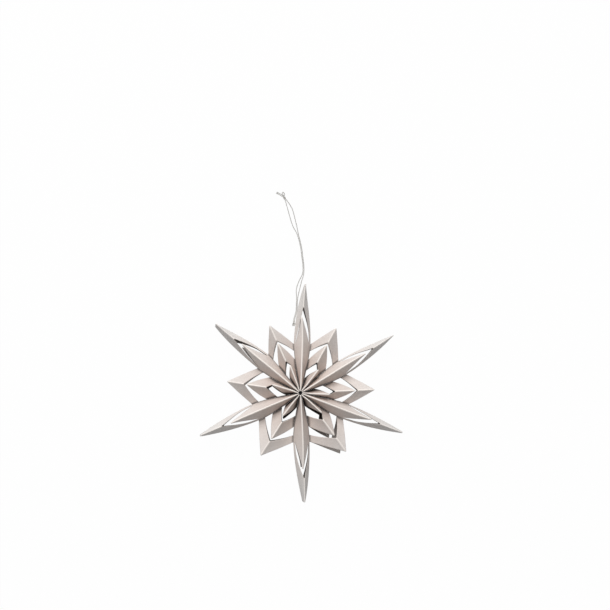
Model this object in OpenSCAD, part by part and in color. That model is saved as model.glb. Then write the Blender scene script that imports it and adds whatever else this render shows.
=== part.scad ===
// Hanging paper star: twelve petals folded from card, six long and six short in turn,
// glued side to side round a small eye, with a string loop through one long petal.
// Every petal is a closed ring of card: a fold along its front, a fold along its back and
// a flat strip down each side, where it is glued to its neighbour.
// The star lies on its back folds, face up, with the hanging petal towards +Y.

/* [Star] */
// Distance across the long petals, from tip to tip
star_across = 200; // [170:5:260]
// Depth of the star, from its front folds to its back folds
star_depth = 28; // [18:1:40]
// Thickness of the card
card_t = 0.25; // [0.15:0.05:0.3]
// Radius of the open eye where all the folds meet
eye_r = 1.8; // [1.7:0.1:3]

/* [Seams] */
// Height of the glued strip down each side of a petal
seam_h = 3; // [1:0.5:5]
// Distance from the middle of the star to the end of the glued strips
seam_end = 45.5; // [42:0.5:50]
// Thickness of the glue line between two strips
glue_t = 0.05; // [0.02:0.01:0.08]

/* [Long petals] */
// Width of a long petal at its widest
long_w = 14.6; // [10:0.2:18]
// Length of the closed tip beyond the slit, along the fold
tip_len = 22; // [16:0.2:30]
// Width of the slit along the fold
slit_len = 8.6; // [5:0.2:12]
// Width of the slit at its root beside the seam
slit_root = 1.5; // [0.5:0.1:2.5]
// Width of the band of card that stays beside the slit at its root
band_w = 1; // [0.5:0.1:2]
// Width of the blunt end across the narrowest tips
tip_w = 1.2; // [0.8:0.1:2]

/* [Short petals] */
// Length of the inner leaf along its fold
leaf_len = 26.8; // [20:0.2:30]
// Width of the inner window along the fold
window_in = 4.7; // [2:0.1:7]
// Width of the inner chevron along the fold
chevron_in = 18.1; // [12:0.1:20]
// Width of the outer window along the fold
window_out = 2.8; // [1:0.1:5]
// Width of the outer chevron along the fold
chevron_out = 15.2; // [10:0.1:20]
// Width of the inner window at the seam, where it is cut in full
window_in_seam = 8; // [4:0.1:10]
// Width of the inner chevron at the seam
chevron_in_seam = 10; // [8:0.1:14]
// Width of the outer window at the seam
window_out_seam = 8; // [3:0.1:9]
// Width of the outer chevron at the seam
chevron_out_seam = 6.5; // [4:0.1:8]

/* [String] */
// Diameter of the string
string_d = 0.8; // [0.6:0.05:0.85]
// Distance of the string's hole from the middle of the star
hole_at = 63.5; // [54:0.5:72]
// Diameter of the string's hole in the petal
hole_d = 1.2; // [1:0.1:2]
// Diameter of the knot at the petal
petal_knot_d = 2.8; // [2:0.1:3]
// Length of the knot at the petal
petal_knot_len = 3.4; // [2:0.1:4]
// Diameter of the knot at the top of the loop
top_knot_d = 2.6; // [2.2:0.1:3]
// Length of the knot at the top of the loop
top_knot_len = 3; // [2:0.1:4]

/* [Hidden] */

// The petals don't open evenly: each fold has its own direction, counted from +X,
// and short petal k lies between long petals k and k + 1
long_angles = [31.6, 88.3, 141.8, 203, 272, 338.8];
short_angles = [61.2, 114.4, 171.5, 237.5, 305.5, 362.6];
// Lean of each petal about its own length, in degrees
long_leans = [0, -2, -5, 0, 3, 0];
short_leans = [0, 1, -2, 0, 11, 0];
// Width of each long petal's left and right side, as shares of half the width
long_sides = [[0.93, 1.06], [1.04, 1.08], [0.88, 1.3], [1.12, 1.08], [0.93, 1.14], [0.86, 1.13]];
// Width of each long petal's blunt end, as a share of the narrowest
tip_shares = [1, 1.4, 2.4, 1.8, 2.5, 1.6];
// Sideways bend of each long petal's tip, and turn of its spear within the petal, in degrees
tip_bends = [0.4, -1.3, -0.7, 0, -0.4, 0];
spear_turns = [-0.4, 1.2, -0.8, 0.4, -0.8, 0.8];
// How roundly the frame's inner edge runs to the fold on each long petal's left and right side
slit_rounds = [[2.2, 2.4], [1.2, 2.3], [1.4, 2.4], [2.2, 2.2], [2.2, 2.2], [1.6, 2.3]];
// Turn of each short petal's inner leaf away from the petal's own fold, in degrees, and what
// the front leaf turns more and the back leaf less
leaf_turns = [-8.8, -4, -6.6, -3.4, 8.6, -5.5];
leaf_leans = [0, 0, -1.2, -1.8, 3.1, 0];
// How roundly each inner leaf and the other windows are cut, where 1 is straight
leaf_rounds = [1.35, 1.35, 1.35, 1.35, 1.05, 1.35];
cut_round = 1.15;
// Share of the inner window's seam width that is cut on each short petal's left and right side
window_shares = [[1.1, 0.06], [0.9, 0.06], [1.2, 0.06], [1.2, 0.7], [0.06, 1.3], [1.2, 0.06]];
// On the back, how much longer each leaf is, how much nearer the inner window's outer end lies
// along the fold, and how much narrower the window is at the seam
leaf_back_spares = [0, 0, 0, 2.2, 0, 0];
window_backs = [1, 1.2, 1.5, 0, 0, 1.2];
back_gap = 1.5;
// The petal that hangs from the string
hung = 1;
full_turn = 360;

half_depth = star_depth / 2;
half_seam = seam_h / 2;
half_glue = glue_t / 2;
long_r = star_across / 2;
half_w = long_w / 2;
spear_r = long_r - tip_len - slit_len;
slit_r = long_r - tip_len;

// The star's middle is moved so that the box of its tips is centred on the origin
tip_x = [for (a = long_angles) long_r * cos(a)];
tip_y = [for (a = long_angles) long_r * sin(a)];
middle = [-(max(tip_x) + min(tip_x)) / 2, -(max(tip_y) + min(tip_y)) / 2, half_depth];

// Where the cuts meet the seam, and where they meet the fold of a short petal
outer_seam = seam_end - chevron_out_seam;
inner_seam_end = outer_seam - window_out_seam;
inner_seam = inner_seam_end - chevron_in_seam;
leaf_seam = inner_seam - window_in_seam;
slit_seam = seam_end - slit_root;
inner_fold = leaf_len + window_in;
inner_fold_end = inner_fold + chevron_in;
outer_fold = inner_fold_end + window_out;
short_r = outer_fold + chevron_out;

// Routes of the string's strands: out of the petal's knot, down onto the surface, close
// together past the petal's tip, apart again, and up into the knot that closes the loop
left_route = [
    [-7.2, 65.5, 14], [-7, 67.5, 13.6], [-6.5, 70, 11.5], [-6, 72, 8.5], [-5.5, 74, 5],
    [-5, 76.5, 2], [-4.6, 80, 0.6], [-4.5, 84, 0.5], [-4.2, 88, 0.5], [-4.4, 92, 0.5],
    [-4.5, 96.5, 0.5], [-3.4, 101.5, 0.5], [-1.3, 106.5, 0.5], [0.8, 110.5, 0.5],
    [1.7, 114.5, 0.5], [1.5, 121, 0.5], [0.6, 128, 0.5], [-0.3, 135.5, 0.5],
    [-1.8, 142.5, 0.5], [-4, 149.5, 0.5], [-7.3, 155.5, 0.5], [-9.2, 160.5, 0.5],
    [-10.8, 166, 0.5], [-12.6, 172.5, 0.5], [-14, 177.5, 0.8], [-15, 181.2, 1.3]];
right_route = [
    [-6.3, 65.5, 14], [-6.1, 67.5, 13.6], [-5.6, 70, 11.5], [-5.1, 72, 8.5], [-4.6, 74, 5],
    [-4.1, 76.5, 2], [-3.7, 80, 0.6], [-3.6, 84, 0.5], [-3.3, 88, 0.5], [-2.6, 92.5, 0.5],
    [-1.1, 98.5, 0.5], [0.3, 104.5, 0.5], [2, 110, 0.5], [2.6, 114.5, 0.5], [2.4, 121, 0.5],
    [1.5, 128, 0.5], [0.6, 135.5, 0.5], [-0.9, 142.5, 0.5], [-2.7, 149.5, 0.5],
    [-4.1, 156.5, 0.5], [-5.3, 161.5, 0.5], [-6.8, 167.5, 0.5], [-8.3, 172.5, 0.5],
    [-10.5, 176.5, 0.5], [-12.6, 179.5, 0.9], [-14.3, 181.7, 1.3]];
tail_left_route = [[-17.2, 183.7, 1], [-18.6, 184.9, 0.8], [-20.6, 186.2, 0.5], [-23.4, 187.6, 0.5]];
tail_right_route = [[-16.5, 184.2, 1], [-17.9, 185.7, 0.8], [-20.2, 187.1, 0.5], [-22.8, 188.4, 0.5]];
bight_route = [[-16.2, 184.6, 1.9], [-17, 185.9, 1.9], [-17.7, 187.3, 1.6], [-17.2, 188.3, 1.2],
               [-16.1, 187.7, 1], [-15.5, 186.2, 1], [-15.8, 184.9, 1.1]];
string_sides = 8;
top_knot_at = [-15.6, 182.8, top_knot_d / 2];
top_knot_angle = 125;
// Share of a knot's width at its flat ends, and share of its length before it is widest
knot_end = 0.45;
knot_belly = 0.3;
knot_gap = 0.1;
// Length of string that runs in past the strip
stub_in = 2;
stub_len = petal_knot_d / 2 + stub_in;

function mix(a, b, t) = a + (b - a) * t;

// Rows of points along a petal, where each row meets the seam and the short petal's fold
seam_rows = [eye_r, mix(eye_r, leaf_seam, 1 / 3), mix(eye_r, leaf_seam, 2 / 3), leaf_seam,
             mix(leaf_seam, inner_seam, 1 / 2), inner_seam,
             mix(inner_seam, inner_seam_end, 1 / 2), inner_seam_end,
             outer_seam, slit_seam, seam_end];
fold_rows = [eye_r, mix(eye_r, leaf_len, 1 / 3), mix(eye_r, leaf_len, 2 / 3), leaf_len,
             mix(leaf_len, inner_fold, 1 / 2), inner_fold,
             mix(inner_fold, inner_fold_end, 1 / 2), inner_fold_end,
             outer_fold, mix(outer_fold, short_r, 3 / 4), short_r];
leaf_rows = 3;
inner_row = 5;
window_rows = [3, 4, 7];
slit_row = 9;
tip_rows = 5;
// Shares of the way from the seam strip up to the fold at which a petal has points
band_share = band_w / half_w;
long_shares = [0, band_share, 0.3, 0.6];
short_shares = [0, 0.25, 0.6];
// How roundly a long petal narrows to its tip
tip_round = 1.8;

// Points round a petal as [side, face, share], from the front fold round by the left side
function around(shares) = let (last = len(shares) - 1) concat(
    [[0, 1, 1]],
    [for (i = [last : -1 : 0]) [1, 1, shares[i]]],
    [for (i = [0 : last]) [1, -1, shares[i]]],
    [[0, -1, 1]],
    [for (i = [last : -1 : 0]) [-1, -1, shares[i]]],
    [for (i = [0 : last]) [-1, 1, shares[i]]]);

// Angle between a long petal's fold and its neighbour's on the given side
function pitch(k, side) = side > 0
    ? short_angles[k] - long_angles[k]
    : long_angles[k] - short_angles[(k + 5) % 6] + (k == 0 ? full_turn : 0);

// Full width of one side of a long petal
function side_w(k, side) = half_w * long_sides[k][side > 0 ? 0 : 1];

// Distance of the seam from a long petal's fold: the petals share the angle near the eye,
// and the long petal reaches its full width where the seam ends
function seam_y(x, k, side) = let (full = side_w(k, side))
    full * (1 - pow(max(0, 1 - x / seam_end), tan(pitch(k, side) / 2) * seam_end / full));

// Width of one side of a long petal at any distance from the middle
function long_y(x, k, side) = let (full = side_w(k, side), half_tip = tip_w * tip_shares[k] / 2)
    x < seam_end ? seam_y(x, k, side)
    : half_tip + (full - half_tip) * (1 - pow((x - seam_end) / (long_r - seam_end), tip_round));

// Distance of the hung petal's left strip from its fold, where the hole is punched
hole_y = long_y(hole_at, hung, 1);

// Sideways shift of a leaning petal's front fold, full from the end of the seam outwards
function lean_y(lean, x) = half_depth * tan(lean) * sin(90 * min(1, x / seam_end));

// Sideways shift of a turned spear, none at the slit's root and full at the spear's tip
function spear_y(k, i, x) = i > slit_row ? 0
    : spear_r * tan(spear_turns[k]) * pow(min(1, max(0, (x - slit_seam) / (spear_r - slit_seam))), 2);

// Sideways shift of a bent tip, growing with the square of the distance past the slit
function bend_y(k, x) = tip_bends[k] * pow(max(0, x - slit_r) / tip_len, 2);

// Inward normal of the facet that climbs from the strip to the fold
function facet_normal(side, face, climb) =
    side * face * [0, -climb[2], climb[1]] / norm([climb[1], climb[2]]);

// Point on the inner side of the card, under the corner where two facets meet
function under(point, n1, n2) = point + card_t * (n1 + n2) / (1 + n1 * n2);

// Outer or inner point of the ring round a petal, between its strip and its fold
function ring_point(left, right, fold, c, is_inner) = let (
        side = c[0] == 0 ? 1 : c[0],
        strip = side > 0 ? left : right,
        other = side > 0 ? right : left,
        n1 = facet_normal(side, c[1], fold - strip),
        n2 = facet_normal(-side, c[1], fold - other))
    is_inner ? mix(under(strip, n1, [0, -side, 0]), under(fold, n1, n2), c[2])
             : mix(strip, fold, c[2]);

// Sheet of card from its outer and inner points; whole tells which cells are not cut out
module card(outer, inner, whole, closed_tip) {
    rows = len(outer);
    cols = len(outer[0]);
    left = cols / 2 - 1;
    function o(i, j) = i * cols + (j + cols) % cols;
    function n(i, j) = rows * cols + o(i, j);
    function on(i, j) = i >= 0 && i < rows - 1 && whole[i][(j + cols) % cols];
    function wall(a, b, c, d) = [[a, b, c], [a, c, d]];
    end_row = closed_tip ? rows - 2 : rows - 1;
    skin = [for (i = [0 : rows - 2], j = [0 : cols - 1]) if (on(i, j)) each concat(
        wall(o(i, j), o(i, j + 1), o(i + 1, j + 1), o(i + 1, j)),
        [[n(i, j), n(i + 1, j + 1), n(i, j + 1)], [n(i, j), n(i + 1, j), n(i + 1, j + 1)]])];
    across = [for (i = [0 : end_row], j = [0 : cols - 1])
        if (on(i - 1, j) && !on(i, j)) each wall(o(i, j), o(i, j + 1), n(i, j + 1), n(i, j))
        else if (on(i, j) && !on(i - 1, j)) each wall(o(i, j + 1), o(i, j), n(i, j), n(i, j + 1))];
    along = [for (i = [0 : rows - 2], j = [0 : cols - 1])
        if (on(i, j - 1) && !on(i, j)) each wall(o(i + 1, j), o(i, j), n(i, j), n(i + 1, j))
        else if (on(i, j) && !on(i, j - 1)) each wall(o(i, j), o(i + 1, j), n(i + 1, j), n(i, j))];
    // The closed tip is a ladder of triangles from the front fold down to the back fold
    ladder = concat([[0, 1, cols - 1]],
        [for (t = [1 : left - 1]) each wall(t, t + 1, cols - t - 1, cols - t)],
        [[left, left + 1, left + 2]]);
    tip = closed_tip ? [for (f = ladder) each [
        [o(rows - 1, f[0]), o(rows - 1, f[1]), o(rows - 1, f[2])],
        [n(rows - 1, f[0]), n(rows - 1, f[2]), n(rows - 1, f[1])]]] : [];
    polyhedron(points = concat([for (row = outer) each row], [for (row = inner) each row]),
               faces = concat(skin, across, along, tip));
}

// Distance from the middle of a long petal's point, by its row, side and share of the height
function long_x(k, i, c) = let (
        run = max(0, c[2] - band_share) / (1 - band_share),
        spear = mix(slit_seam, spear_r, run),
        frame = mix(seam_end, slit_r, pow(run, 1 / slit_rounds[k][c[0] > 0 ? 0 : 1])))
    i <= slit_row
        ? mix(eye_r, spear, (seam_rows[i] - eye_r) / (slit_seam - eye_r))
        : mix(frame, long_r, (i - slit_row - 1) / tip_rows);

// Outer or inner point of a long petal, in the petal's own frame with its fold along X
function long_point(k, i, c, is_inner) = let (
        x = long_x(k, i, c),
        bend = bend_y(k, x),
        strip_z = c[1] * half_seam,
        left = [x, long_y(x, k, 1) - half_glue + bend, strip_z],
        right = [x, half_glue - long_y(x, k, -1) + bend, strip_z],
        fold_y = c[1] * lean_y(long_leans[k], x) + spear_y(k, i, x) + bend,
        fold = [x, fold_y, c[1] * half_depth],
        inset = is_inner && i == slit_row + 1 + tip_rows ? card_t : 0)
    ring_point(left, right, fold, c, is_inner) - [inset, 0, 0];

// Long petal k: a spear with a frame round it, left by two slits, on both faces
module long_petal(k) {
    cols = around(long_shares);
    rows = slit_row + 2 + tip_rows;
    function points(is_inner) =
        [for (i = [0 : rows - 1]) [for (c = cols) long_point(k, i, c, is_inner)]];
    // A cell is cut out where the slit passes, above the band on either side of the strip
    function cell(i, j) = let (a = cols[j], b = cols[(j + 1) % len(cols)])
        i != slit_row || min(a[2], b[2]) < band_share;
    whole = [for (i = [0 : rows - 2]) [for (j = [0 : len(cols) - 1]) cell(i, j)]];
    color("#d0c6bf") translate(middle) rotate(long_angles[k]) difference() {
        card(points(false), points(true), whole, true);
        // Punched hole for the string, through the left strip
        if (k == hung) translate([hole_at, hole_y, 0]) rotate([90, 0, 0])
            cylinder(d = hole_d, h = 4 * card_t, center = true, $fn = 24);
    }
}

// Seam distance of a short petal's row: each leaf ends at the edge of its own inner window
function short_row(k, i, side, face) = let (
        cut = window_in_seam * window_shares[k][side > 0 ? 0 : 1],
        leaf_end = inner_seam - cut + (face < 0 && cut > back_gap ? back_gap : 0))
    i <= leaf_rows ? mix(eye_r, leaf_end, i / leaf_rows)
    : i < inner_row ? max(seam_rows[i], mix(leaf_end, inner_seam, 1 / 2)) : seam_rows[i];

// Point of the seam beside short petal k, in that petal's own frame
function short_seam(k, i, side, face) = let (
        neighbour = side > 0 ? (k + 1) % 6 : k,
        x = short_row(k, i, side, face),
        y = -side * (seam_y(x, neighbour, -side) + half_glue),
        turn = side * pitch(neighbour, -side))
    [x * cos(turn) - y * sin(turn), x * sin(turn) + y * cos(turn)];

// Fold distance of a short petal's row: the back's leaf and inner window have lengths of their own
function short_fold(k, i, face) = face > 0 ? fold_rows[i]
    : i <= leaf_rows ? mix(eye_r, leaf_len + leaf_back_spares[k], i / leaf_rows)
    : i == inner_row ? fold_rows[i] - window_backs[k] : fold_rows[i];

// How roundly a row runs from the seam to the fold: straight at the eye and at the outer end
function row_round(k, i) = i <= leaf_rows ? mix(1, leaf_rounds[k], i / leaf_rows)
    : i == len(fold_rows) - 1 ? 1 : cut_round;

// Outer or inner point of a short petal, in the petal's own frame with its fold along X
function short_point(k, i, c, is_inner) = let (
        is_leaf = i <= leaf_rows,
        turn = is_leaf && i > 0 ? leaf_turns[k] + c[1] * leaf_leans[k] : 0,
        strip_z = c[1] * half_seam,
        left = concat(short_seam(k, i, 1, c[1]), strip_z),
        right = concat(short_seam(k, i, -1, c[1]), strip_z),
        reach = short_fold(k, i, c[1]),
        x = reach * cos(turn),
        y = reach * sin(turn) + (is_leaf ? 0 : c[1] * lean_y(short_leans[k], x)),
        fold = [x, y, c[1] * half_depth],
        slide = (pow(c[2], 1 / row_round(k, i)) - c[2]) * (x - (c[0] > 0 ? left[0] : right[0])))
    ring_point(left, right, fold, c, is_inner) + [slide, 0, 0];

// Short petal k: an inner leaf and two chevrons, joined by the strips down both sides
module short_petal(k) {
    cols = around(short_shares);
    rows = len(fold_rows);
    function points(is_inner) =
        [for (i = [0 : rows - 1]) [for (c = cols) short_point(k, i, c, is_inner)]];
    // A cell is cut out where a window passes, except in the strips
    function cell(i, j) = len(search(i, window_rows)) == 0
        || (cols[j][2] == 0 && cols[(j + 1) % len(cols)][2] == 0);
    whole = [for (i = [0 : rows - 2]) [for (j = [0 : len(cols) - 1]) cell(i, j)]];
    color("#c9beb6") translate(middle) rotate(short_angles[k])
        card(points(false), points(true), whole, false);
}

// Round string swept along its route, with a ring at every point, square to the route
module string(route) {
    last = len(route) - 1;
    function ahead(i) = route[min(last, i + 1)] - route[max(0, i - 1)];
    function ring(i) = let (
            along = ahead(i) / norm(ahead(i)),
            side = cross(along, [0, 0, 1]) / norm(cross(along, [0, 0, 1])),
            up = cross(side, along))
        [for (a = [0 : full_turn / string_sides : full_turn - 1])
            route[i] + string_d / 2 * (side * cos(a) + up * sin(a))];
    function at(i, j) = i * string_sides + j % string_sides;
    ends = [[for (j = [0 : string_sides - 1]) at(0, j)],
            [for (j = [string_sides - 1 : -1 : 0]) at(last, j)]];
    walls = [for (i = [0 : last - 1], j = [0 : string_sides - 1]) each [
        [at(i, j + 1), at(i, j), at(i + 1, j)], [at(i, j + 1), at(i + 1, j), at(i + 1, j + 1)]]];
    color("#e6e4df") polyhedron(points = [for (i = [0 : last]) each ring(i)],
                                faces = concat(ends, walls));
}
module string_left() { string(left_route); }
module string_right() { string(right_route); }
module tail_left() { string(tail_left_route); }
module tail_right() { string(tail_right_route); }
module top_bight() { string(bight_route); }

// Knot as a short barrel with flat ends, where the strings run in, standing along Z
module knot(d, length) {
    color("#e6e4df") translate([0, 0, -length / 2]) rotate_extrude($fn = 32)
        polygon([[0, 0], [d * knot_end, 0], [d / 2, length * knot_belly],
                 [d / 2, length * (1 - knot_belly)], [d * knot_end, length], [0, length]]);
}

// Knot beside the hole of the hung petal, with the bit of string that runs in through it
module petal_knot() {
    translate(middle) rotate(long_angles[hung]) {
        translate([hole_at, hole_y + knot_gap + petal_knot_d / 2, 0]) rotate([0, 90, 0])
            knot(petal_knot_d, petal_knot_len);
        color("#e6e4df") translate([hole_at, hole_y + knot_gap + petal_knot_d / 2, 0])
            rotate([90, 0, 0]) cylinder(d = string_d, h = stub_len, $fn = 24);
    }
}

// Knot that closes the loop, lying on its side
module top_knot() {
    translate(top_knot_at) rotate([0, 0, top_knot_angle]) rotate([0, 90, 0])
        knot(top_knot_d, top_knot_len);
}

for (k = [0 : 5]) {
    long_petal(k);
    short_petal(k);
}
string_left();
string_right();
tail_left();
tail_right();
top_bight();
petal_knot();
top_knot();
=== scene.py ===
import math
import bpy
import numpy as np
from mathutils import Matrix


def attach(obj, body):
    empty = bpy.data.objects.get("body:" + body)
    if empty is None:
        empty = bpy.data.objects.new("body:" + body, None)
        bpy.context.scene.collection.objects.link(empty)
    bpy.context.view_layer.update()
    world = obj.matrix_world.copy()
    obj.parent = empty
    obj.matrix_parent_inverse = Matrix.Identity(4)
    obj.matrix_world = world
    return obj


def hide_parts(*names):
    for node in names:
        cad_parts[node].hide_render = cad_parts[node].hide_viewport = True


# Hanging paper star: twelve petals folded from card, and a twisted cotton string.
# Sizes are in millimetres, and mm turns them into the frame's metres.
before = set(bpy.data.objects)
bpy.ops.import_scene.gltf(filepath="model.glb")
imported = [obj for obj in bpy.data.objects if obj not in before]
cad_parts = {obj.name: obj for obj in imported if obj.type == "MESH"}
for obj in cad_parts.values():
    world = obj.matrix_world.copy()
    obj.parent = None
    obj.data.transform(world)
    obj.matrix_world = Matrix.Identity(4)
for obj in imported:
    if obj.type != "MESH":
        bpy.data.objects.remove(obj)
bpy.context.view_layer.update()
mm = 0.001
petals = 6             # of each kind
hungPetal = 1          # the long petal that the string holds, counted from 0


def linear(hexCode):
    # sRGB hex to linear: each channel is ((c + 0.055) / 1.055) to the power 2.4, or c / 12.92 when dark
    c = np.array([int(hexCode[i:i + 2], 16) for i in (1, 3, 5)]) / 255
    c = np.where(c > 0.04045, ((c + 0.055) / 1.055) ** 2.4, c / 12.92)
    return (*c.tolist(), 1.0)


def add(tree, kind, links=None, values=None, **settings):
    # Adds a node, sets its properties, its sockets by name or number, and its incoming links
    node = tree.nodes.new("ShaderNode" + kind)
    for key, value in settings.items():
        setattr(node, key, value)
    for key, value in (values or {}).items():
        node.inputs[key].default_value = value
    for key, source in (links or {}).items():
        tree.links.new(source, node.inputs[key])
    return node


def newMaterial(name):
    # An empty material and its node tree
    material = bpy.data.materials.new(name)
    material.use_nodes = True
    material.node_tree.nodes.clear()
    return material, material.node_tree


# The camera hangs above the star's middle and looks straight down, with the hung petal at the top

view = {
    "distance": 1050,      # from the plane half way through the star
    "sensor": 36,
    "lens": 66.9,
    "starPixel": (300.5, 393.0),   # where the star's middle shows in the frame
    "framePixels": 610,
    "nearest": 10,         # what lies nearer or further than these isn't drawn
    "furthest": 50000,
}


def placeCamera(v):
    # The shift moves the picture by a share of its width: half the frame less the star's pixel
    data = bpy.data.cameras.new("camera")
    data.sensor_width = v["sensor"]
    data.lens = v["lens"]
    half = v["framePixels"] / 2
    data.shift_x = (half - v["starPixel"][0]) / v["framePixels"]
    data.shift_y = (v["starPixel"][1] - half) / v["framePixels"]
    data.clip_start, data.clip_end = v["nearest"] * mm, v["furthest"] * mm
    camera = bpy.data.objects.new("camera", data)
    camera.location = middle * mm + [0, 0, v["distance"] * mm]
    bpy.context.scene.collection.objects.link(camera)
    bpy.context.scene.camera = camera


# The star's shared sizes, and the direction of each petal's fold, counted from +X.
# Short petal k lies between long petals k and k + 1.
star = {
    "across": 200,         # tip to tip
    "depth": 28,           # from the back folds to the front ones
    "card": 0.25,
    "eye": 1.8,            # radius at which the petals start
    "seamHeight": 3,       # height of the glued strips
    "seamEnd": 45.5,       # how far out the strips are glued
    "glue": 0.05,          # the gap that stands for a line of glue
    "foldRound": 0.6,      # outside radius of a fold, less where the petal is narrow
    "foldTight": 0.4,      # the least radius of a fold
    "foldShare": 0.36,     # a fold's radius where the petal is narrow, as a share of its half width
    "foldSpare": 0.03,     # what stays between the two sides of the narrowest section
    "stripRound": 0.4,     # outside radius of the bends beside a strip
    "bow": 0.02,           # how far a facet bulges, as a share of the petal's half width
    "foldColumns": 3,      # columns of points round each fold
    "stripShare": 0.03,    # where the column next to the strip is, as a share of the way to the fold
    "creaseShare": 0.985,  # where the column next to the fold is
    "longAngles": np.array([31.6, 88.3, 141.8, 203, 272, 338.8]),
    "shortAngles": np.array([61.2, 114.4, 171.5, 237.5, 305.5, 362.6]),
    "longLeans": np.array([0, -2, -5, 0, 3, 0]),
    "shortLeans": np.array([0, 1, -2, 0, 11, 0]),
}
longPetal = {
    "width": 14.6,
    # Each petal's width on its left and its right side, as shares of half the width
    "sides": np.array([[0.93, 1.06], [1.04, 1.08], [0.88, 1.3],
                       [1.12, 1.08], [0.93, 1.14], [0.86, 1.13]]),
    "tipLength": 22,       # from the slit's outer end at the fold to the tip
    "slit": 8.6,           # width of the slit along the fold
    "slitRoot": 1.5,       # and along the strip
    "band": 1,             # how far from the strip the slit ends
    "tipWidth": 1.2,
    "tipShares": np.array([1, 1.4, 2.4, 1.8, 2.5, 1.6]),   # each blunt end's width, in tipWidths
    "tipBends": np.array([0.4, -1.3, -0.7, 0, -0.4, 0]),   # how far each tip is bent to its left
    "tipRound": 1.8,       # how roundly the sides run to the tip, 1 for straight
    # How roundly the frame's inner edge runs to the fold on each petal's left and right side
    "slitRounds": np.array([[2.2, 2.4], [1.2, 2.3], [1.4, 2.4],
                            [2.2, 2.2], [2.2, 2.2], [1.6, 2.3]]),
    "spearTurns": np.array([-0.4, 1.2, -0.8, 0.4, -0.8, 0.8]),   # degrees, at the spear's tip
    "rowsSpear": 56,
    "rowsTip": 34,
    "facetColumns": 14,
}
shortPetal = {
    # The leaf's end on the fold, then the windows and chevrons along the fold, from the inner one
    "leaf": 26.8,
    "windowIn": 4.7,
    "chevronIn": 18.1,
    "windowOut": 2.8,
    "chevronOut": 15.2,
    # The same along the strip, which they share out from its end
    "windowInSeam": 8,
    "chevronInSeam": 10,
    "windowOutSeam": 8,
    "chevronOutSeam": 6.5,
    "leafTurns": np.array([-8.8, -4, -6.6, -3.4, 8.6, -5.5]),   # degrees, about the star's middle
    "turnRate": 3,         # the leaf's turn is full after 1 / turnRate of its length
    "leafLeans": np.array([0, 0, -1.2, -1.8, 3.1, 0]),   # degrees, front leaf ahead and back leaf behind
    "leafBackSpares": np.array([0, 0, 0, 2.2, 0, 0]),    # how much longer the back leaf is
    "windowBacks": np.array([1, 1.2, 1.5, 0, 0, 1.2]),   # how much nearer the back's inner window ends
    "backGap": 1.5,        # how much narrower the inner window is at the back's seam
    # The inner window's width at its left and its right seam, as a share of windowInSeam
    "windowShares": np.array([[1.1, 0.06], [0.9, 0.06], [1.2, 0.06],
                              [1.2, 0.7], [0.06, 1.3], [1.2, 0.06]]),
    "leafRounds": np.array([1.35, 1.35, 1.35, 1.35, 1.05, 1.35]),   # how roundly the leaf's end is cut
    "cutRound": 1.15,      # how far the chevrons' cut edges bulge outwards, 1 for straight
    "rowsPerPart": 16,
    "facetColumns": 12,
}
longR = star["across"] / 2
halfW = longPetal["width"] / 2
halfDepth = star["depth"] / 2
tips = longR * np.stack([np.cos(np.radians(star["longAngles"])), np.sin(np.radians(star["longAngles"]))])
middle = np.array([*(-(tips.max(1) + tips.min(1)) / 2), halfDepth])


def turned(points, degrees):
    # Turns x and y about the origin by an angle, and keeps z
    c, s = np.cos(np.radians(degrees)), np.sin(np.radians(degrees))
    x, y, z = points[..., 0], points[..., 1], points[..., 2]
    return np.stack([x * c - y * s, x * s + y * c, z], -1)


def pitch(k, side):
    # Angle from long petal k's fold to its neighbour's, on the left for side 1 and the right for -1
    if side > 0:
        return star["shortAngles"][k] - star["longAngles"][k]
    return (star["longAngles"][k] - star["shortAngles"][k - 1]) % 360


def seamY(x, k, side):
    # Width of long petal k from its fold to one seam: the full width there less a power of what is
    # left of the seam, with the power set so that the petals share the angle at the eye
    full = halfW * longPetal["sides"][k][0 if side > 0 else 1]
    power = math.tan(math.radians(pitch(k, side) / 2)) * star["seamEnd"] / full
    return full * (1 - np.maximum(0, 1 - x / star["seamEnd"]) ** power)


def longY(x, k, side):
    # Width of long petal k on one side: the seam's curve, then a rounded taper to the blunt tip
    full = halfW * longPetal["sides"][k][0 if side > 0 else 1]
    run = np.clip((x - star["seamEnd"]) / (longR - star["seamEnd"]), 0, 1)
    halfTip = longPetal["tipWidth"] * longPetal["tipShares"][k] / 2
    taper = halfTip + (full - halfTip) * (1 - run ** longPetal["tipRound"])
    return np.where(x < star["seamEnd"], seamY(x, k, side), taper)


def leanY(lean, x):
    # Sideways shift of a leaning fold: the depth times the lean's tangent, full from the seam's end
    return halfDepth * math.tan(math.radians(lean)) * np.sin(np.pi / 2 * np.minimum(1, x / star["seamEnd"]))


def columnsAround(shares):
    # Columns round a section: kind 0 is a facet at a share from strip to fold, 1 the round of a fold,
    # 2 the round beside a strip; t runs along the round. They go from the front fold down the left
    # side to the back fold, and up the right side
    rounds = (np.arange(star["foldColumns"]) + 0.5) / star["foldColumns"]
    quarter = [(0, s, 0.0) for s in shares] + [(1, 1.0, t) for t in rounds]
    corner = [(2, 0.0, t) for t in (0, 0.5)]
    up = corner + quarter
    rows = []
    for side, face, path in ((1, 1, up[::-1]), (1, -1, up), (-1, -1, up[::-1]), (-1, 1, up)):
        rows += [(side, face, kind, share, t) for kind, share, t in path]
    names = ("side", "face", "kind", "share", "t")
    return {name: np.array(values) for name, values in zip(names, zip(*rows))}


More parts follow.
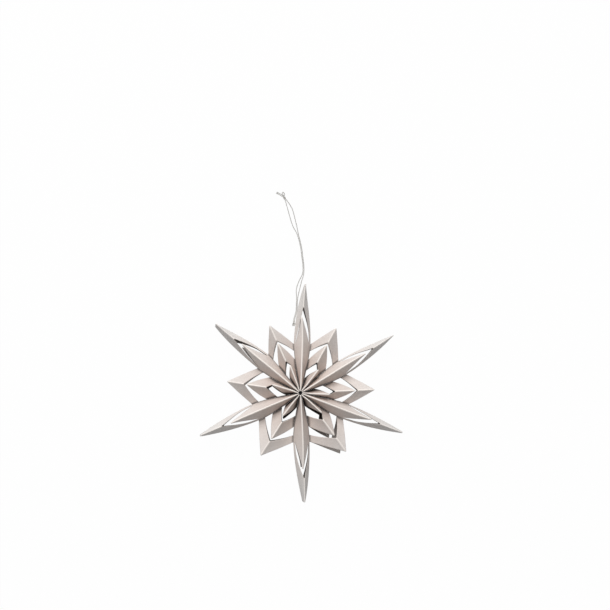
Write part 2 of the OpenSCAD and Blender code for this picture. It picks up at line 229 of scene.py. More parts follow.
def ringPoints(left, right, fold, cols, depthIn):
    # Points of a petal's skin, depthIn inside its outer surface. The section is a hexagon of strips
    # and folds with a circle in each corner and a belt over the circles, so that every fold is a
    # true round and the card has one thickness. Left, right and fold are grids of x, y, z.
    side, face = cols["side"][None, :], cols["face"][None, :]
    kind, s, t = cols["kind"][None, :], cols["share"][None, :], cols["t"][None, :]
    mine = np.where(side[..., None] > 0, left, right)
    width = (left[..., 1] - right[..., 1]) / 2
    radius = np.minimum(star["foldRound"], np.maximum(star["foldTight"], star["foldShare"] * width))
    radius = np.minimum(radius, width - star["foldSpare"])
    stripR = np.minimum(star["stripRound"], radius)
    stripY, stripZ = mine[..., 1] - side * stripR, face * (star["seamHeight"] - stripR) / 2
    runY, runZ = fold[..., 1] - stripY, face * (halfDepth - radius) - stripZ
    # The belt's normal leans towards the smaller circle
    tilt = np.arcsin(np.clip((stripR - radius) / np.hypot(runY, runZ), -1, 1))
    normal = np.arctan2(runZ, runY) - side * face * (np.pi / 2 - tilt)
    level = np.where(side > 0, 0, np.pi * face)
    upright = face * np.pi / 2
    angle = np.where(kind == 1, normal + (upright - normal) * t,
                     np.where(kind == 2, level + (normal - level) * t, normal))
    bulge = star["bow"] * width * np.sin(np.pi * s) ** 2
    reach = stripR + (radius - stripR) * s + np.where(kind == 0, bulge, 0) - depthIn
    x = mine[..., 0] + (fold[..., 0] - mine[..., 0]) * s
    y = stripY + runY * s + reach * np.cos(angle)
    z = stripZ + runZ * s + reach * np.sin(angle)
    slope = np.hypot(runY, runZ)
    fromFold = np.where(kind == 1, 0, (1 - s) * slope)
    fromStrip = np.where(kind == 2, 0, s * slope)
    return np.stack([x, y, z], -1), np.stack([fromFold, fromStrip + 0 * x, x], -1)


def cardMesh(name, outer, inner, whole, places, closedTip):
    # One closed sheet of card: the outer grid, the inner grid turned over, walls round each cut,
    # and both skins closed across the blunt tip. whole says which cells of the grid are card.
    rows, cols = outer.shape[:2]
    ids = np.arange(rows * cols).reshape(rows, cols)
    nxt = np.roll(ids, -1, 1)
    base = rows * cols
    a, b, c, d = ids[:-1], nxt[:-1], nxt[1:], ids[1:]
    skin = np.stack([a, d, c, b], -1)[whole]
    under = np.stack([a, b, c, d], -1)[whole] + base
    above = np.vstack([np.zeros((1, cols), bool), whole])
    below = np.vstack([whole, np.zeros((1, cols), bool)])
    if closedTip:
        below[-1], above[-1] = True, True
    starts, ends = below & ~above, above & ~below
    wallStart = np.stack([ids, nxt, nxt + base, ids + base], -1)[starts]
    wallEnd = np.stack([nxt, ids, ids + base, nxt + base], -1)[ends]
    before = np.roll(whole, 1, 1)
    opens, closes = whole & ~before, before & ~whole
    wallOpen = np.stack([d, a, a + base, d + base], -1)[opens]
    wallClose = np.stack([a, d, d + base, a + base], -1)[closes]
    faces = [skin, under, wallStart, wallEnd, wallOpen, wallClose]
    if closedTip:
        # Strips of faces join the left half of the last ring to the right half, top to bottom
        last = ids[-1]
        leftHalf, rightHalf = last[:cols // 2], last[::-1][:cols // 2]
        cap = np.stack([leftHalf[:-1], rightHalf[:-1], rightHalf[1:], leftHalf[1:]], -1)
        faces += [cap, cap[:, ::-1] + base]
    quads = np.concatenate(faces)
    points = np.concatenate([outer.reshape(-1, 3), inner.reshape(-1, 3)]) * mm
    used, index = np.unique(quads, return_inverse=True)
    mesh = bpy.data.meshes.new(name)
    mesh.from_pydata(points[used], [], index.reshape(-1, 4).tolist())
    # How far each point is from its fold, from its strip and from the middle, in millimetres
    layer = mesh.attributes.new("places", "FLOAT_VECTOR", "POINT")
    bothSkins = np.tile(places.reshape(-1, 3), (2, 1))[used]
    layer.data.foreach_set("vector", bothSkins.astype(np.float32).ravel())
    walls = np.zeros(len(quads), bool)
    walls[len(skin) + len(under):] = True
    reverse = np.zeros(len(quads), bool)
    reverse[len(skin):len(skin) + len(under)] = True
    for label, values in (("cutEdge", walls), ("reverse", reverse)):
        mesh.attributes.new(label, "FLOAT", "FACE").data.foreach_set("value", values.astype(np.float32))
    mesh.polygons.foreach_set("use_smooth", ~walls)
    mesh.validate()
    obj = bpy.data.objects.new(name, mesh)
    bpy.context.scene.collection.objects.link(obj)
    return obj


print("stage: sizes and helpers")

placeCamera(view)


# The string: two strands from the knot at the petal to the knot that closes the loop, with the
# loop's two tails and a small bight beyond it. The points are the route, in millimetres.

twine = {
    "diameter": 0.8,
    "plies": 3,
    "plyShare": 0.5,       # a ply's radius, as a share of the string's
    "pitch": 2.6,          # length in which the plies go round once
    "plySides": 8,
    "ringsPerPitch": 12,
    "fray": 0.45,          # how far the plies part at a cut end
    "frayLength": 2.2,
    "frayThin": 0.4,       # share of its radius that a ply loses there
    "curveSteps": 24,      # points worked out between two points of the route
    "nearlyUp": (0.03, 0.02, 1),   # no stretch of the string points exactly this way
}
routes = {
    "left": [
        [-7.2, 65.5, 14], [-7, 67.5, 13.6], [-6.5, 70, 11.5], [-6, 72, 8.5], [-5.5, 74, 5],
        [-5, 76.5, 2], [-4.6, 80, 0.6], [-4.5, 84, 0.5], [-4.2, 88, 0.5], [-4.4, 92, 0.5],
        [-4.5, 96.5, 0.5], [-3.4, 101.5, 0.5], [-1.3, 106.5, 0.5], [0.8, 110.5, 0.5],
        [1.7, 114.5, 0.5], [1.5, 121, 0.5], [0.6, 128, 0.5], [-0.3, 135.5, 0.5],
        [-1.8, 142.5, 0.5], [-4, 149.5, 0.5], [-7.3, 155.5, 0.5], [-9.2, 160.5, 0.5],
        [-10.8, 166, 0.5], [-12.6, 172.5, 0.5], [-14, 177.5, 0.8], [-15, 181.2, 1.3]],
    "right": [
        [-6.3, 65.5, 14], [-6.1, 67.5, 13.6], [-5.6, 70, 11.5], [-5.1, 72, 8.5], [-4.6, 74, 5],
        [-4.1, 76.5, 2], [-3.7, 80, 0.6], [-3.6, 84, 0.5], [-3.3, 88, 0.5], [-2.6, 92.5, 0.5],
        [-1.1, 98.5, 0.5], [0.3, 104.5, 0.5], [2, 110, 0.5], [2.6, 114.5, 0.5], [2.4, 121, 0.5],
        [1.5, 128, 0.5], [0.6, 135.5, 0.5], [-0.9, 142.5, 0.5], [-2.7, 149.5, 0.5],
        [-4.1, 156.5, 0.5], [-5.3, 161.5, 0.5], [-6.8, 167.5, 0.5], [-8.3, 172.5, 0.5],
        [-10.5, 176.5, 0.5], [-12.6, 179.5, 0.9], [-14.3, 181.7, 1.3]],
    "tailLeft": [[-17.2, 183.7, 1], [-18.6, 184.9, 0.8], [-20.6, 186.2, 0.5], [-23.4, 187.6, 0.5]],
    "tailRight": [[-16.5, 184.2, 1], [-17.9, 185.7, 0.8], [-20.2, 187.1, 0.5], [-22.8, 188.4, 0.5]],
    "bight": [[-16.2, 184.6, 1.9], [-17, 185.9, 1.9], [-17.7, 187.3, 1.6], [-17.2, 188.3, 1.2],
              [-16.1, 187.7, 1], [-15.5, 186.2, 1], [-15.8, 184.9, 1.1]],
}
knots = {
    # Centre, outer width and length of the two knots. The petal's knot is placed along its petal
    # and out from the strip, and the string's stub runs from it inwards in even steps.
    "petal": {"at": (63.5, 1.4, 0), "wide": 2.8, "long": 3.4,
              "spare": 0.1, "stubStep": 0.2, "stubRings": 18},
    "top": {"at": (-15.6, 182.8, 1.3), "turn": 125, "wide": 2.6, "long": 3},
    "steps": 240,
    "twineShare": 0.85,    # the string is pulled a little thinner where it is knotted
}


def runAlong(line):
    # Length run from a line's first point to each of its points
    return np.concatenate([[0], np.cumsum(np.linalg.norm(np.diff(line, axis=0), axis=1))])


def smoothRoute(points, step):
    # Catmull-Rom curve through the points, resampled at even steps of length
    p = np.array(points, float)
    p = np.vstack([2 * p[0] - p[1], p, 2 * p[-1] - p[-2]])
    t = np.linspace(0, len(p) - 3, (len(p) - 3) * twine["curveSteps"] + 1)
    i = np.minimum(t.astype(int), len(p) - 4)
    f = (t - i)[:, None]
    a, b, c, d = p[i], p[i + 1], p[i + 2], p[i + 3]
    square, cube = 2 * a - 5 * b + 4 * c - d, 3 * b - a - 3 * c + d
    curve = (2 * b + (c - a) * f + square * f ** 2 + cube * f ** 3) / 2
    along = runAlong(curve)
    even = np.linspace(0, along[-1], int(along[-1] / step) + 1)
    return np.stack([np.interp(even, along, curve[:, k]) for k in range(3)], -1), even


def framesAlong(line, closed=False):
    # Direction of a line at each point, with one vector beside it that stays level and one above
    if closed:
        ahead = np.roll(line, -1, 0) - np.roll(line, 1, 0)
    else:
        ahead = np.gradient(line, axis=0)
    ahead = ahead / np.linalg.norm(ahead, axis=1)[:, None]
    beside = np.cross(ahead, twine["nearlyUp"])
    beside = beside / np.linalg.norm(beside, axis=1)[:, None]
    return ahead, beside, np.cross(beside, ahead)


def plyTubes(line, along, diameter, frayFrom=None, closed=False):
    # Twisted string: each ply's middle goes round the line as a helix, and its surface is a circle
    # swept along that helix. Returns points, faces, and the run along and round as coordinates.
    ply = twine["plyShare"] * diameter / 2
    turns = 2 * np.pi * along / twine["pitch"]
    if closed:
        whole = along[-1] + (along[1] - along[0])
        turns = 2 * np.pi * along / whole * max(1, round(whole / twine["pitch"]))
    ahead, beside, above = framesAlong(line, closed)
    spread = np.zeros(len(line))
    if frayFrom is not None:
        spread = np.clip((along - frayFrom) / (along[-1] - frayFrom), 0, 1) ** 2 * twine["fray"]
    points, faces, coords = [], [], []
    sides, rings = twine["plySides"], len(line)
    around = np.linspace(0, 2 * np.pi, sides, endpoint=False)
    for n in range(twine["plies"]):
        phase = turns + 2 * np.pi * n / twine["plies"]
        out = beside * np.cos(phase)[:, None] + above * np.sin(phase)[:, None]
        centre = line + out * (diameter / 2 - ply + spread)[:, None]
        # A ply that parts from the others comes to rest on the sheet
        centre[:, 2] = np.maximum(centre[:, 2], ply)
        _, right, up = framesAlong(centre, closed)
        shrink = ply * (1 - twine["frayThin"] * spread / twine["fray"])
        ring = centre[:, None] + shrink[:, None, None] * (
            right[:, None] * np.cos(around)[None, :, None] + up[:, None] * np.sin(around)[None, :, None])
        ids = np.arange(rings * sides).reshape(rings, sides) + n * rings * sides
        low, high = (ids, np.roll(ids, -1, 0)) if closed else (ids[:-1], ids[1:])
        quads = np.stack([low, np.roll(low, -1, 1), np.roll(high, -1, 1), high], -1).reshape(-1, 4)
        faces += quads[:, ::-1].tolist()
        if not closed:
            faces += [ids[0].tolist(), ids[-1][::-1].tolist()]
        points.append(ring.reshape(-1, 3))
        coords.append(np.stack([np.repeat(along, sides), np.tile(around / (2 * np.pi), rings)], -1))
    return np.concatenate(points), faces, np.concatenate(coords)


def stringPiece(name, points, faces, coords, node, material):
    # Mesh with its run along the string and round each ply as a UV map, riding on the star
    mesh = bpy.data.meshes.new(name)
    mesh.from_pydata(points * mm, [], faces)
    uv = mesh.uv_layers.new(name="alongAndRound")
    corner = np.zeros(len(mesh.loops), np.int32)
    mesh.loops.foreach_get("vertex_index", corner)
    uv.data.foreach_set("uv", coords[corner].astype(np.float32).ravel())
    mesh.polygons.foreach_set("use_smooth", np.ones(len(mesh.polygons), bool))
    mesh.validate()
    obj = bpy.data.objects.new(name, mesh)
    bpy.context.scene.collection.objects.link(obj)
    mesh.materials.append(material)
    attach(obj, "root")
    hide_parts(node)
    return obj


def knotLine(spec):
    # Trefoil: x = sin t + 2 sin 2t, y = cos t - 2 cos 2t, z = -sin 3t, which is 6 wide and 2 long,
    # sized to the knot and turned so that its axis runs with the string
    t = np.linspace(0, 2 * np.pi, knots["steps"], endpoint=False)
    thick = twine["diameter"] * knots["twineShare"]
    wide, length = (spec["wide"] - thick) / 6, (spec["long"] - thick) / 2
    return np.stack([-np.sin(3 * t) * length, (np.sin(t) + 2 * np.sin(2 * t)) * wide,
                     (np.cos(t) - 2 * np.cos(2 * t)) * wide], -1)


cottonFinish = {
    "fibre": 0.09,         # a bundle of fibres, drawn coarser than the real ones so that it shows
    "fibreLength": 8,      # a bundle's length, in its widths
    "fibresRound": 7,      # bundles round a ply
    "slant": 0.5,          # radians, from the ply's own direction
    "shade": "#A5A29D",
    "light": "#DAD8D4",
    "shadeAt": 0.3,        # where the fibres' noise is shade and where it is light
    "lightAt": 0.7,
    "relief": 0.04,        # how far the fibres stand up
}


def cottonTwine(c):
    # Unbleached three-ply cotton, twisted and left unwaxed: matt, off-white, with the plies' fibres
    # lying at a slant and a soft halo of sheen
    material, tree = newMaterial("cottonTwine")
    uv = add(tree, "UVMap", uv_map="alongAndRound")
    bundles = (1 / c["fibre"] / c["fibreLength"], c["fibresRound"], 1)
    slant = add(tree, "Mapping", {"Vector": uv.outputs["UV"]},
                {"Rotation": (0, 0, c["slant"]), "Scale": bundles})
    fibres = add(tree, "TexNoise", {"Vector": slant.outputs["Vector"]},
                 {"Scale": 1.0, "Detail": 3.0, "Roughness": 0.6})
    ramp = add(tree, "ValToRGB", {"Fac": fibres.outputs["Fac"]})
    for end, at, colour in zip(ramp.color_ramp.elements, ("shadeAt", "lightAt"), ("shade", "light")):
        end.position, end.color = c[at], linear(c[colour])
    bump = add(tree, "Bump", {"Height": fibres.outputs["Fac"]},
               {"Strength": 0.5, "Distance": c["relief"] * mm})
    surface = add(tree, "BsdfPrincipled",
                  {"Base Color": ramp.outputs["Color"], "Normal": bump.outputs["Normal"]},
                  {"Roughness": 0.92, "Specular IOR Level": 0.25,
                   "Sheen Weight": 0.25, "Sheen Roughness": 0.5})
    add(tree, "OutputMaterial", {"Surface": surface.outputs["BSDF"]})
    return material


def hungFrame(points):
    # From the hung petal's own frame, with its fold along X, to the star's
    return turned(points, star["longAngles"][hungPetal]) + middle


cotton = cottonTwine(cottonFinish)
step = twine["pitch"] / twine["ringsPerPitch"]
strings = {}
for label, node in (("left", "string_left"), ("right", "string_right"), ("tailLeft", "tail_left"),
                    ("tailRight", "tail_right"), ("bight", "top_bight")):
    line, along = smoothRoute(routes[label], step)
    cutEnd = along[-1] - twine["frayLength"] if label.startswith("tail") else None
    tube = plyTubes(line, along, twine["diameter"], cutEnd)
    strings[label] = stringPiece(node + "Twine", *tube, node, cotton)
    strings[label + "Line"] = line
    strings[label + "Length"] = along[-1]

hungSide = float(longY(np.array(knots["petal"]["at"][0]), hungPetal, 1))
for label, node in (("petal", "petal_knot"), ("top", "top_knot")):
    spec = knots[label]
    line = knotLine(spec)
    if label == "petal":
        at = np.array(spec["at"]) + [0, hungSide + spec["spare"], 0]
        line = hungFrame(line + at)
    else:
        line = turned(line, spec["turn"]) + spec["at"]
    thin = twine["diameter"] * knots["twineShare"]
    points, faces, coords = plyTubes(line, runAlong(line), thin, closed=True)
    if label == "petal":
        # The string's stub runs from the knot through the strip into the petal
        stub = [[spec["at"][0], at[1] - k * spec["stubStep"], 0] for k in range(spec["stubRings"])]
        stub = hungFrame(np.array(stub))
        extra = plyTubes(stub, runAlong(stub), twine["diameter"])
        faces = faces + [[i + len(points) for i in f] for f in extra[1]]
        points, coords = np.concatenate([points, extra[0]]), np.concatenate([coords, extra[2]])
    strings[label + "Knot"] = stringPiece(node + "Twine", points, faces, coords, node, cotton)

carried = {"left": ["petalKnot", "topKnot", "tailLeft", "tailRight", "bight"], "right": []}
for label, extras in carried.items():
    line = strings[label + "Line"] * mm
    print("string", label, round(strings[label + "Length"], 1), "mm")
print("stage: string")


cardFinish = {
    "mottle": 11,          # the cloudiness of the pulp
    "fibre": 0.7,          # a clump of fibres, coarser than the real ones so that it shows
    "threadWide": 3,       # a long thread's scale, in clumps
    "threadTurn": (0.4, 0.2, 0.7),
    "threadStretch": (1, 5, 2),
    "relief": 0.06,        # how far the fibres stand up
    "dye": "#DDCDC4",
    "paleDye": "#E6D8D0",
    "cloudRange": (0.3, 0.7),    # where the noise of the clouds turns from one dye to the other
    # painted light: the near-white that the card is mixed towards at the tips
    "tipLightDye": "#F4F3F1",
    "tipLightFrom": 20,        # the painted lightening's start and end, from the star's middle, and its share there
    "tipLightTo": 85,
    "tipLightShare": 0.9,
    "speck": "#BFB1A8",
    "speckRange": (0.35, 0.7),
    "speckShare": 0.6,
    # painted shade: the near-black brown laid along the seams' valleys, standing in for their shadow, not
    # glue
    "glue": "#1E130D",
    "shadeReachNear": 9,         # how far the painted shade reaches up from a seam beside the eye
    "shadeReachOut": 1.5,       # and at the seam's outer end
    "shadeReachFrom": 4,         # where these two are met along the seam
    "shadeReachTo": 32,
    "valleyShadeFrom": 8,        # from here to the seam's end the painted shade goes from its near to its far share
    "valleyShadeNear": 0.97,
    "valleyShadeFar": 0.5,
    "creaseWearAndHighlight": "#FFF7F0",
    "creaseWide": 0.85,    # how far the paler fold, rubbed and with a painted highlight, reaches on either side
    "creaseFrom": 50,      # from here on the folds' rubbed paleness and painted highlight fade, down to the tip's share
    "creaseTo": 95,
    "creaseTip": 0.25,
    # painted shade: the inside of the petals, darkened where it lies in shadow
    "reverse": "#3B302A",
    "reverseShadeFrom": 34,     # from here on the painted shade on the reverse weakens, down to its tip's share
    "reverseShadeTo": 52,
    "reverseShadeTip": 0.35,
    "cutEdge": "#DDD4CC",
}


def foldedCard(c):
    # Uncoated dyed card of about 230 g, scored, folded and cut: matt, faintly mottled, with short
    # fibres in the surface; the dye is rubbed paler along each fold, with a painted highlight there too,
    # and the cut shows the paler core. Painted light pales the card towards the tips, and painted
    # shade darkens the seams' valleys and the reverse near the middle
    material, tree = newMaterial("foldedCard")
    place = add(tree, "TexCoord").outputs["Object"]
    clouds = add(tree, "TexNoise", {"Vector": place},
                 {"Scale": 1 / (c["mottle"] * mm), "Detail": 3.0, "Roughness": 0.55})
    specks = add(tree, "TexNoise", {"Vector": place},
                 {"Scale": 1 / (c["fibre"] * mm), "Detail": 4.0, "Roughness": 0.7})
    stretched = add(tree, "Mapping", {"Vector": place},
                    {"Rotation": c["threadTurn"], "Scale": c["threadStretch"]})
    threads = add(tree, "TexNoise", {"Vector": stretched.outputs["Vector"]},
                  {"Scale": 1 / (c["fibre"] * c["threadWide"] * mm), "Detail": 2.0, "Roughness": 0.5})
    cloudTone = add(tree, "MapRange", {"Value": clouds.outputs["Fac"]},
                    {"From Min": c["cloudRange"][0], "From Max": c["cloudRange"][1],
                     "To Min": 0.0, "To Max": 1.0})
    dye = add(tree, "Mix", {0: cloudTone.outputs["Result"]},
              {6: linear(c["dye"]), 7: linear(c["paleDye"])}, data_type="RGBA")
    # Painted light: the card is paler and greyer towards the tips and browner near the middle, standing in
    # for the open tips' light and the shade and bounce between the petals
    fromMiddle = add(tree, "VectorMath", {0: place}, {1: tuple(middle * mm)}, operation="DISTANCE")
    tipLightening = add(tree, "MapRange", {"Value": fromMiddle.outputs["Value"]},
                {"From Min": c["tipLightFrom"] * mm, "From Max": c["tipLightTo"] * mm,
                 "To Min": 0.0, "To Max": c["tipLightShare"]})
    dyed = add(tree, "Mix", {0: tipLightening.outputs["Result"], 6: dye.outputs[2]},
               {7: linear(c["tipLightDye"])}, data_type="RGBA")
    speckTone = add(tree, "MapRange", {"Value": specks.outputs["Fac"]},
                    {"From Min": c["speckRange"][0], "From Max": c["speckRange"][1],
                     "To Min": 0.0, "To Max": c["speckShare"]})
    speckled = add(tree, "Mix", {0: speckTone.outputs["Result"], 6: dyed.outputs[2]},
                   {7: linear(c["speck"])}, data_type="RGBA")
    places = add(tree, "Attribute", attribute_name="places")
    apart = add(tree, "SeparateXYZ", {"Vector": places.outputs["Vector"]})
    # Painted shade: the card is darkened along the seams' deep valleys, most of all near the middle,
    # standing in for their shadow
    reach = add(tree, "MapRange", {"Value": apart.outputs["Z"]},
                {"From Min": c["shadeReachFrom"], "From Max": c["shadeReachTo"],
                 "To Min": c["shadeReachNear"], "To Max": c["shadeReachOut"]})
    valleyShadeRise = add(tree, "MapRange", {"Value": apart.outputs["Y"], "From Min": reach.outputs["Result"]},
                 {"From Max": 0.0, "To Min": 0.0, "To Max": 1.0}, interpolation_type="SMOOTHERSTEP")
    along = add(tree, "MapRange", {"Value": apart.outputs["Z"]},
                {"From Min": c["valleyShadeFrom"], "From Max": star["seamEnd"],
                 "To Min": c["valleyShadeNear"], "To Max": c["valleyShadeFar"]})
    glued = add(tree, "Math", {0: apart.outputs["Z"]}, {1: star["seamEnd"]}, operation="LESS_THAN")
    depth = add(tree, "Math", {0: valleyShadeRise.outputs["Result"], 1: along.outputs["Result"]},
                operation="MULTIPLY")
    valleyShade = add(tree, "Math", {0: depth.outputs[0], 1: glued.outputs[0]}, operation="MULTIPLY")
    valleyShaded = add(tree, "Mix", {0: valleyShade.outputs[0], 6: speckled.outputs[2]},
                  {7: linear(c["glue"])}, data_type="RGBA")
    # The paler fold's width, rubbed dye with a painted highlight, follows the specks, so that its edge is
    # ragged
    ragged = add(tree, "Math", {0: specks.outputs["Fac"]},
                 {1: c["creaseWide"], 2: c["creaseWide"] / 2}, operation="MULTIPLY_ADD")
    foldRubbedAndLit = add(tree, "MapRange", {"Value": apart.outputs["X"], "From Min": ragged.outputs[0]},
                 {"From Max": 0.0, "To Min": 0.0, "To Max": 1.0})
    # The fold's rubbed paleness and painted highlight weaken towards the tips
    foldPaleFade = add(tree, "MapRange", {"Value": fromMiddle.outputs["Value"]},
                  {"From Min": c["creaseFrom"] * mm, "From Max": c["creaseTo"] * mm,
                   "To Min": 1.0, "To Max": c["creaseTip"]})
    foldWearAndHighlight = add(tree, "Math", {0: foldRubbedAndLit.outputs["Result"], 1: foldPaleFade.outputs["Result"]},
               operation="MULTIPLY")
    foldWornAndLit = add(tree, "Mix", {0: foldWearAndHighlight.outputs[0], 6: valleyShaded.outputs[2]},
                  {7: linear(c["creaseWearAndHighlight"])}, data_type="RGBA")
    # Painted shade: the reverse, inside the petals, is darkened nearly to black-brown near the middle,
    # where it shows through the windows
    reverse = add(tree, "Attribute", attribute_name="reverse")
    reverseShadeFade = add(tree, "MapRange", {"Value": fromMiddle.outputs["Value"]},
               {"From Min": c["reverseShadeFrom"] * mm, "From Max": c["reverseShadeTo"] * mm,
                "To Min": 1.0, "To Max": c["reverseShadeTip"]})
    reverseShadeMask = add(tree, "Math", {0: reverse.outputs["Fac"], 1: reverseShadeFade.outputs["Result"]},
                      operation="MULTIPLY")
    turnedCard = add(tree, "Mix", {0: reverseShadeMask.outputs[0], 6: foldWornAndLit.outputs[2]},
                     {7: linear(c["reverse"])}, data_type="RGBA")
    cutEdge = add(tree, "Attribute", attribute_name="cutEdge")
    edged = add(tree, "Mix", {0: cutEdge.outputs["Fac"], 6: turnedCard.outputs[2]},
                {7: linear(c["cutEdge"])}, data_type="RGBA")
    relief = add(tree, "Math", {0: specks.outputs["Fac"], 1: threads.outputs["Fac"]}, operation="ADD")
    bump = add(tree, "Bump", {"Height": relief.outputs[0]},
               {"Strength": 0.35, "Distance": c["relief"] * mm})
    surface = add(tree, "BsdfPrincipled",
                  {"Base Color": edged.outputs[2], "Normal": bump.outputs["Normal"]},
                  {"Roughness": 0.88, "Specular IOR Level": 0.3, "Sheen Weight": 0.05})
    add(tree, "OutputMaterial", {"Surface": surface.outputs["BSDF"]})
    return material


def longRows(k, cols):
    # Distance along the fold for each row and share: the spear's rows fan out from the eye to its
    # slanted end, and past the slit the frame's rows run from its curved end to the tip
    band = longPetal["band"] / halfW
    run = np.maximum(0, cols["share"] - band) / (1 - band)
    spearR = longR - longPetal["tipLength"] - longPetal["slit"]
    slitR = longR - longPetal["tipLength"]
    slitSeam = star["seamEnd"] - longPetal["slitRoot"]
    spear = slitSeam + (spearR - slitSeam) * run
    rounds = np.where(cols["side"] > 0, *longPetal["slitRounds"][k])
    frameEnd = star["seamEnd"] + (slitR - star["seamEnd"]) * run ** (1 / rounds)
    u = np.linspace(0, 1, longPetal["rowsSpear"] + 1)[:, None]
    v = np.linspace(0, 1, longPetal["rowsTip"] + 1)[:, None]
    return np.vstack([star["eye"] + (spear - star["eye"]) * u, frameEnd + (longR - frameEnd) * v])


def spearTurn(k, x):
    # Sideways shift of a spear that is bent a little in its own plane: none up to the slit's root,
    # then growing with the square of the distance, and none again past the spear's tip
    root = star["seamEnd"] - longPetal["slitRoot"]
    tip = longR - longPetal["tipLength"] - longPetal["slit"]
    run = np.clip((x - root) / (tip - root), 0, 1)
    reach = tip * math.tan(math.radians(longPetal["spearTurns"][k]))
    rows = np.arange(len(x))[:, None] <= longPetal["rowsSpear"]
    return np.where(rows, reach * run ** 2, 0)


def longPetalPiece(k):
    # Long petal k: the two seams and the fold as functions of the distance along it
    band = longPetal["band"] / halfW
    inside = np.linspace(0, 1, longPetal["facetColumns"])
    across = band + (1 - band) * inside[:-1]
    shares = np.concatenate([[0, star["stripShare"], band / 2], across, [star["creaseShare"], 1]])
    cols = columnsAround(shares)
    x = longRows(k, cols)
    leftY = longY(x, k, 1) - star["glue"] / 2
    rightY = star["glue"] / 2 - longY(x, k, -1)
    foldY = cols["face"] * leanY(star["longLeans"][k], x) + spearTurn(k, x)
    # The tip bends sideways with the square of the distance past the slit
    pastSlit = np.maximum(0, x - (longR - longPetal["tipLength"])) / longPetal["tipLength"]
    bend = longPetal["tipBends"][k] * pastSlit ** 2
    left, right, fold = (np.stack([x, y + bend, 0 * x], -1) for y in (leftY, rightY, foldY))
    outer, places = ringPoints(left, right, fold, cols, 0)
    inner, _ = ringPoints(left, right, fold, cols, star["card"])
    inner[-1, :, 0] -= star["card"]
    # Across the slit only the cells inside the band along the strip are card
    whole = np.ones((len(x) - 1, len(cols["share"])), bool)
    cellShare = np.minimum(cols["share"], np.roll(cols["share"], -1))
    whole[longPetal["rowsSpear"]] = (cellShare < band) & ~np.isclose(cellShare, band)
    place = [turned(grid, star["longAngles"][k]) + middle for grid in (outer, inner)]
    return cardMesh("longPetalCard%d" % (k + 1), *place, whole, places, True)


def shortPetalPiece(k):
    # Short petal k: rows slant from the seam to the fold, in three parts with two windows between
    inside = np.linspace(0, 1, shortPetal["facetColumns"])
    shares = np.concatenate([[0, star["stripShare"]], inside[1:-1], [star["creaseShare"], 1]])
    cols = columnsAround(shares)
    p = shortPetal
    outerSeam = star["seamEnd"] - p["chevronOutSeam"]
    innerSeamEnd = outerSeam - p["windowOutSeam"]
    innerSeam = innerSeamEnd - p["chevronInSeam"]
    gap = p["windowInSeam"] * p["windowShares"][k]
    gap = np.where(cols["side"] > 0, gap[0], gap[1])
    behind = cols["face"] < 0
    leafEnd = innerSeam - gap + behind * (gap > p["backGap"]) * p["backGap"]
    leafFold = p["leaf"] + behind * p["leafBackSpares"][k]
    innerFoldEnd = p["leaf"] + p["windowIn"] + p["chevronIn"]
    innerFold = p["leaf"] + p["windowIn"] - behind * p["windowBacks"][k]
    outerFold = innerFoldEnd + p["windowOut"]
    u = np.linspace(0, 1, p["rowsPerPart"] + 1)[:, None]
    s = cols["share"]
    # The leaf and the two chevrons: where each starts and ends at the seam and at the fold, and how
    # roundly its two edges run between them
    parts = [(star["eye"], star["eye"], leafEnd, leafFold, 1, p["leafRounds"][k]),
             (innerSeam, innerFold, innerSeamEnd, innerFoldEnd, p["cutRound"], p["cutRound"]),
             (outerSeam, outerFold, star["seamEnd"], outerFold + p["chevronOut"], p["cutRound"], 1)]
    seam, foldX, mixed = [], [], []
    for startSeam, startFold, endSeam, endFold, startRound, endRound in parts:
        seam.append(startSeam + (endSeam - startSeam) * u + 0 * s)
        foldX.append(startFold + (endFold - startFold) * u + 0 * s)
        # Share of the way from the seam to the fold that a rounded edge has gone, mixed row by row
        start, end = s ** (1 / startRound), s ** (1 / endRound)
        mixed.append(start + (end - start) * u)
    seam, foldX, mixed = (np.concatenate(part) for part in (seam, foldX, mixed))
    u = u + 0 * s
    leafTurn = p["leafTurns"][k] + cols["face"] * p["leafLeans"][k]
    turning = np.sin(np.pi / 2 * np.minimum(1, p["turnRate"] * u))
    turn = np.concatenate([leafTurn * turning, 0 * u, 0 * u])
    strips = []
    for side in (1, -1):
        neighbour = (k + 1) % petals if side > 0 else k
        y = -side * (seamY(seam, neighbour, -side) + star["glue"] / 2)
        strips.append(turned(np.stack([seam, y, 0 * y], -1), side * pitch(neighbour, -side)))
    fold = turned(np.stack([foldX, 0 * foldX, 0 * foldX], -1), turn)
    # The leaf has a lean of its own, in its turn, so the petal's lean starts beyond it
    beyond = np.repeat([0, 1, 1], p["rowsPerPart"] + 1)[:, None]
    fold[..., 1] += beyond * cols["face"] * leanY(star["shortLeans"][k], fold[..., 0])
    left, right = strips
    # A round edge reaches further out than the straight mix, so the point slides out along its row
    mine = np.where(cols["side"][None, :, None] > 0, left, right)
    slide = (mixed - s)[..., None] * (fold - mine) * [1, 0, 0]
    left, right, fold = left + slide, right + slide, fold + slide
    outer, places = ringPoints(left, right, fold, cols, 0)
    inner, _ = ringPoints(left, right, fold, cols, star["card"])
    # Across the two windows only the flat of the strips is card
    whole = np.ones((len(seam) - 1, len(s)), bool)
    flat = (cols["kind"] == 2) & (cols["t"] == 0)
    for window in (1, 2):
        whole[window * (p["rowsPerPart"] + 1) - 1] = flat & np.roll(flat, -1)
    place = [turned(grid, star["shortAngles"][k]) + middle for grid in (outer, inner)]
    return cardMesh("shortPetalCard%d" % (k + 1), *place, whole, places, False)


card = foldedCard(cardFinish)
for k in range(petals):
    for label, make in (("long", longPetalPiece), ("short", shortPetalPiece)):
        petal = make(k)
        petal.data.materials.append(card)
        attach(petal, "root")
        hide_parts("%s_petal_%d" % (label, k + 1))
print("stage: petals")


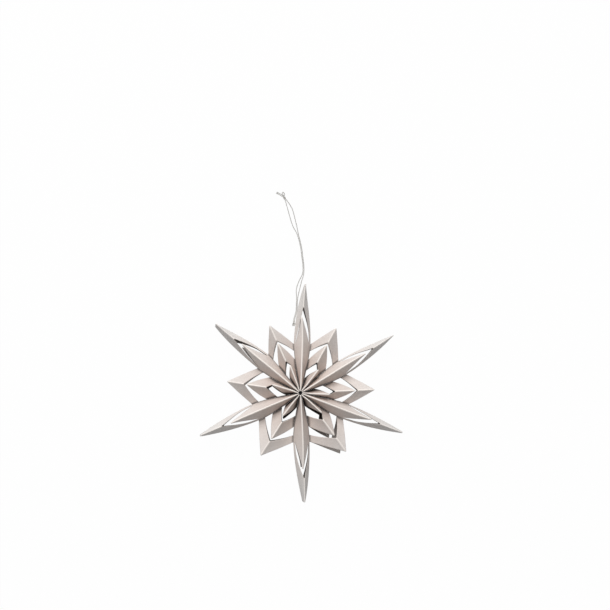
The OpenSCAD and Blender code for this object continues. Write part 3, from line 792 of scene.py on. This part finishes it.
# A white sheet under the star, soft light from the top of the picture, and an even pale room

studio = {
    "sheetSize": 6000,
    "paper": "#CCCCCC",
    "eyeFoot": 3,          # radius of the shaded spot under the star's eye
    "seenWhite": 0.985,    # share of plain white in what the camera sees of the sheet
    "keyWatts": 19.5,
    "keySize": 1100,
    "keyAt": (-250, 1050, 1050),
    "fill": 0.34,          # strength of the room's even light
}


def floorSheet(s):
    # White paper: the camera sees it mostly as plain white, with the object's shadow on top
    half = s["sheetSize"] / 2 * mm
    mesh = bpy.data.meshes.new("whiteSheet")
    corners = [(-half, -half, 0), (half, -half, 0), (half, half, 0), (-half, half, 0)]
    mesh.from_pydata(corners, [], [(0, 1, 2, 3)])
    obj = bpy.data.objects.new("whiteSheet", mesh)
    bpy.context.scene.collection.objects.link(obj)
    material, tree = newMaterial("whitePaperSheet")
    rays = add(tree, "LightPath")
    seen = add(tree, "Math", {0: rays.outputs["Is Camera Ray"], 1: rays.outputs["Is Glossy Ray"]},
               operation="MAXIMUM")
    # The sheet at the foot of the star's eye lies in full shadow, so there it isn't plain white
    place = add(tree, "TexCoord").outputs["Object"]
    away = add(tree, "VectorMath", {0: place}, {1: (*(middle[:2] * mm), 0)}, operation="DISTANCE")
    clear = add(tree, "Math", {0: away.outputs["Value"]}, {1: s["eyeFoot"] * mm}, operation="GREATER_THAN")
    plain = add(tree, "Math", {0: seen.outputs[0], 1: clear.outputs[0]}, operation="MULTIPLY")
    share = add(tree, "Math", {0: plain.outputs[0]}, {1: s["seenWhite"]}, operation="MULTIPLY")
    lit = add(tree, "BsdfDiffuse", None, {"Color": linear(s["paper"])})
    white = add(tree, "Emission", None, {"Strength": 1.0})
    both = add(tree, "MixShader", {0: share.outputs[0], 1: lit.outputs[0], 2: white.outputs[0]})
    add(tree, "OutputMaterial", {"Surface": both.outputs[0]})
    mesh.materials.append(material)


def lightUp(s):
    # One large lamp for the soft shadows, and a world that fills them and shows as plain white
    key = bpy.data.lights.new("windowLight", "AREA")
    key.energy, key.size = s["keyWatts"], s["keySize"] * mm
    lamp = bpy.data.objects.new("windowLight", key)
    at = np.array(s["keyAt"]) * mm
    lamp.location = at
    # A lamp shines along its own -Z, so it is turned about X and then Z to face the star
    tip = math.atan2(math.hypot(at[0], at[1]), at[2])
    lamp.rotation_euler = (tip, 0, math.atan2(at[1], at[0]) + math.pi / 2)
    bpy.context.scene.collection.objects.link(lamp)
    world = bpy.data.worlds.new("paleRoom")
    bpy.context.scene.world = world
    world.use_nodes = True
    tree = world.node_tree
    tree.nodes.clear()
    rays = add(tree, "LightPath")
    plain = (1, 1, 1, 1)
    dim = add(tree, "Background", None, {"Color": plain, "Strength": s["fill"]})
    white = add(tree, "Background", None, {"Color": plain, "Strength": 1.0})
    both = add(tree, "MixShader",
               {0: rays.outputs["Is Camera Ray"], 1: dim.outputs[0], 2: white.outputs[0]})
    add(tree, "OutputWorld", {"Surface": both.outputs[0]})


floorSheet(studio)
lightUp(studio)
bpy.context.scene.view_settings.view_transform = "Standard"
print("stage: sheet and light")
